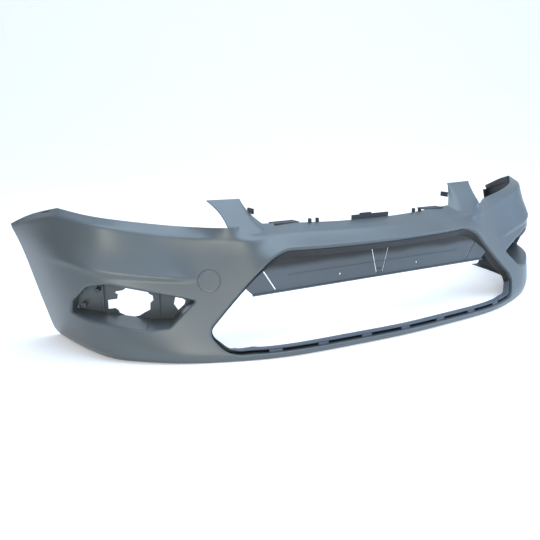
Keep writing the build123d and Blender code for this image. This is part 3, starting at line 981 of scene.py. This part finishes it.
def pocket_details(shell, lift):
    """Screw bosses and ribs that stand on the pocket's rear wall."""
    for x, z, radius, height in BOSSES:
        ring = [(math.cos(a), math.sin(a)) for a in np.linspace(0, 2 * math.pi, 20, endpoint=False)]
        levels = [(radius, 0), (radius, height - 1.2), (radius - 1.2, height), (radius * 0.45, height),
                  (radius * 0.45, height - 6)]
        rings = [shell.add([lift(x + c * r, z + s * r, -h) for c, s in ring]) for r, h in levels]
        for a, b in zip(rings, rings[1:]):
            shell.bridge(a, b, 0)
        shell.face(rings[-1], 0)
        shell.face(list(reversed(rings[0])), 0)
    for x, low, high in POCKET_RIBS:
        sides = (x - POCKET_RIB_WIDTH / 2, x + POCKET_RIB_WIDTH / 2)
        shell.block([lift(a, b, c) for a in sides for b in (low, high) for c in (0, -POCKET_RIB_HEIGHT)])


# ---------------------------------------------------------------- carried-over pieces
def dress_frame():
    """Materials for the CAD pieces that stay as they are."""
    for name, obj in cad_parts.items():
        material = zinc if "nuts" in name or "liner_clips" in name else black
        for slot in obj.material_slots:
            slot.material = material


# ---------------------------------------------------------------- stage, lights and camera
def make_stage():
    size = 9.0
    steps = 24
    curve = [(y, 0.0) for y in np.linspace(-size, 3.0, 6)]
    angles = np.linspace(0, math.pi / 2, steps)[1:]
    curve += [(3.0 + 2.5 * math.sin(a), 2.5 * (1 - math.cos(a))) for a in angles]
    curve.append((5.5, 8.0))
    verts = [(x / MM, y / MM, z / MM) for y, z in curve for x in (-size, size)]
    faces = [(2 * i, 2 * i + 1, 2 * i + 3, 2 * i + 2) for i in range(len(curve) - 1)]
    paper = surface_material("paper", (0.86, 0.86, 0.86), 0.8, grain=60.0, bump=0.01, spread=0.01)
    shader = next(n for n in paper.node_tree.nodes if n.type == "BSDF_PRINCIPLED")
    shader.inputs["Emission Color"].default_value = (1.0, 1.0, 1.0, 1)
    shader.inputs["Emission Strength"].default_value = 0.28
    floor = mesh_object("floor", verts, faces, [paper])
    floor.rotation_euler = (0, 0, math.radians(-30))


def area_light(name, place, target, size, energy, colour):
    light = bpy.data.lights.new(name, "AREA")
    light.shape = "RECTANGLE"
    light.size, light.size_y = size
    light.energy = energy
    light.color = colour
    obj = bpy.data.objects.new(name, light)
    bpy.context.collection.objects.link(obj)
    obj.location = place
    obj.rotation_euler = (Vector(target) - Vector(place)).to_track_quat("-Z", "Y").to_euler()


def make_lights():
    """A white studio: cool from above and the right, dimmer and warmer at the left and low down."""
    world = bpy.data.worlds.new("studio")
    bpy.context.scene.world = world
    world.use_nodes = True
    tree = world.node_tree
    background = tree.nodes["Background"]
    background.inputs["Strength"].default_value = 1.0
    place = node(tree, "ShaderNodeTexCoord")
    split = node(tree, "ShaderNodeSeparateXYZ")
    tree.links.new(place.outputs["Generated"], split.inputs["Vector"])
    weight = node(tree, "ShaderNodeMath", operation="MULTIPLY_ADD")
    tree.links.new(split.outputs["Z"], weight.inputs[0])
    weight.inputs[1].default_value = 0.8
    tree.links.new(split.outputs["X"], weight.inputs[2])
    ramp = node(tree, "ShaderNodeMapRange")
    ramp.inputs["From Min"].default_value = -0.9
    ramp.inputs["From Max"].default_value = 1.2
    tree.links.new(weight.outputs["Value"], ramp.inputs["Value"])
    tint = node(tree, "ShaderNodeValToRGB")
    tint.color_ramp.elements[0].color = (0.26, 0.245, 0.19, 1)
    tint.color_ramp.elements[1].color = (0.78, 1.00, 1.36, 1)
    tree.links.new(ramp.outputs["Result"], tint.inputs["Fac"])
    tree.links.new(tint.outputs["Color"], background.inputs["Color"])
    area_light("sky", (0.5, -0.6, 3.2), (0, -0.1, 0.2), (3.4, 2.6), 96, (0.74, 0.88, 1.0))
    area_light("cool_right", (2.6, -2.0, 1.2), (0.4, -0.1, 0.15), (1.6, 1.4), 40, (0.50, 0.72, 1.0))
    area_light("warm_strip", (-1.38, -2.35, 0.95), (-0.75, 0.0, 0.25), (0.20, 1.2), 22, (1.0, 0.90, 0.70))
    bpy.context.scene.view_settings.view_transform = "Standard"


CAMERA_PLACE = (-1.128, -1.467, 0.579)
CAMERA_AZIMUTH = math.radians(-30.37)
CAMERA_ELEVATION = math.radians(14.0)
CAMERA_LENS = 42.05


def make_camera():
    camera = bpy.data.cameras.new("camera")
    camera.lens = CAMERA_LENS
    camera.sensor_width = 36.0
    obj = bpy.data.objects.new("camera", camera)
    bpy.context.collection.objects.link(obj)
    level = math.cos(CAMERA_ELEVATION)
    across, along, up = math.sin(CAMERA_AZIMUTH), math.cos(CAMERA_AZIMUTH), math.sin(CAMERA_ELEVATION)
    back = Vector((across * level, -along * level, up))
    obj.location = CAMERA_PLACE
    obj.rotation_euler = back.to_track_quat("Z", "Y").to_euler()
    bpy.context.scene.camera = obj


make_camera()
make_lights()
make_stage()
dress_frame()
grille_loop, fog_loops = make_fascia()
make_tow_cap()
make_surround(grille_loop)
make_panel()
for pocket_side, rim_loop in fog_loops.items():
    make_pocket(pocket_side, rim_loop)
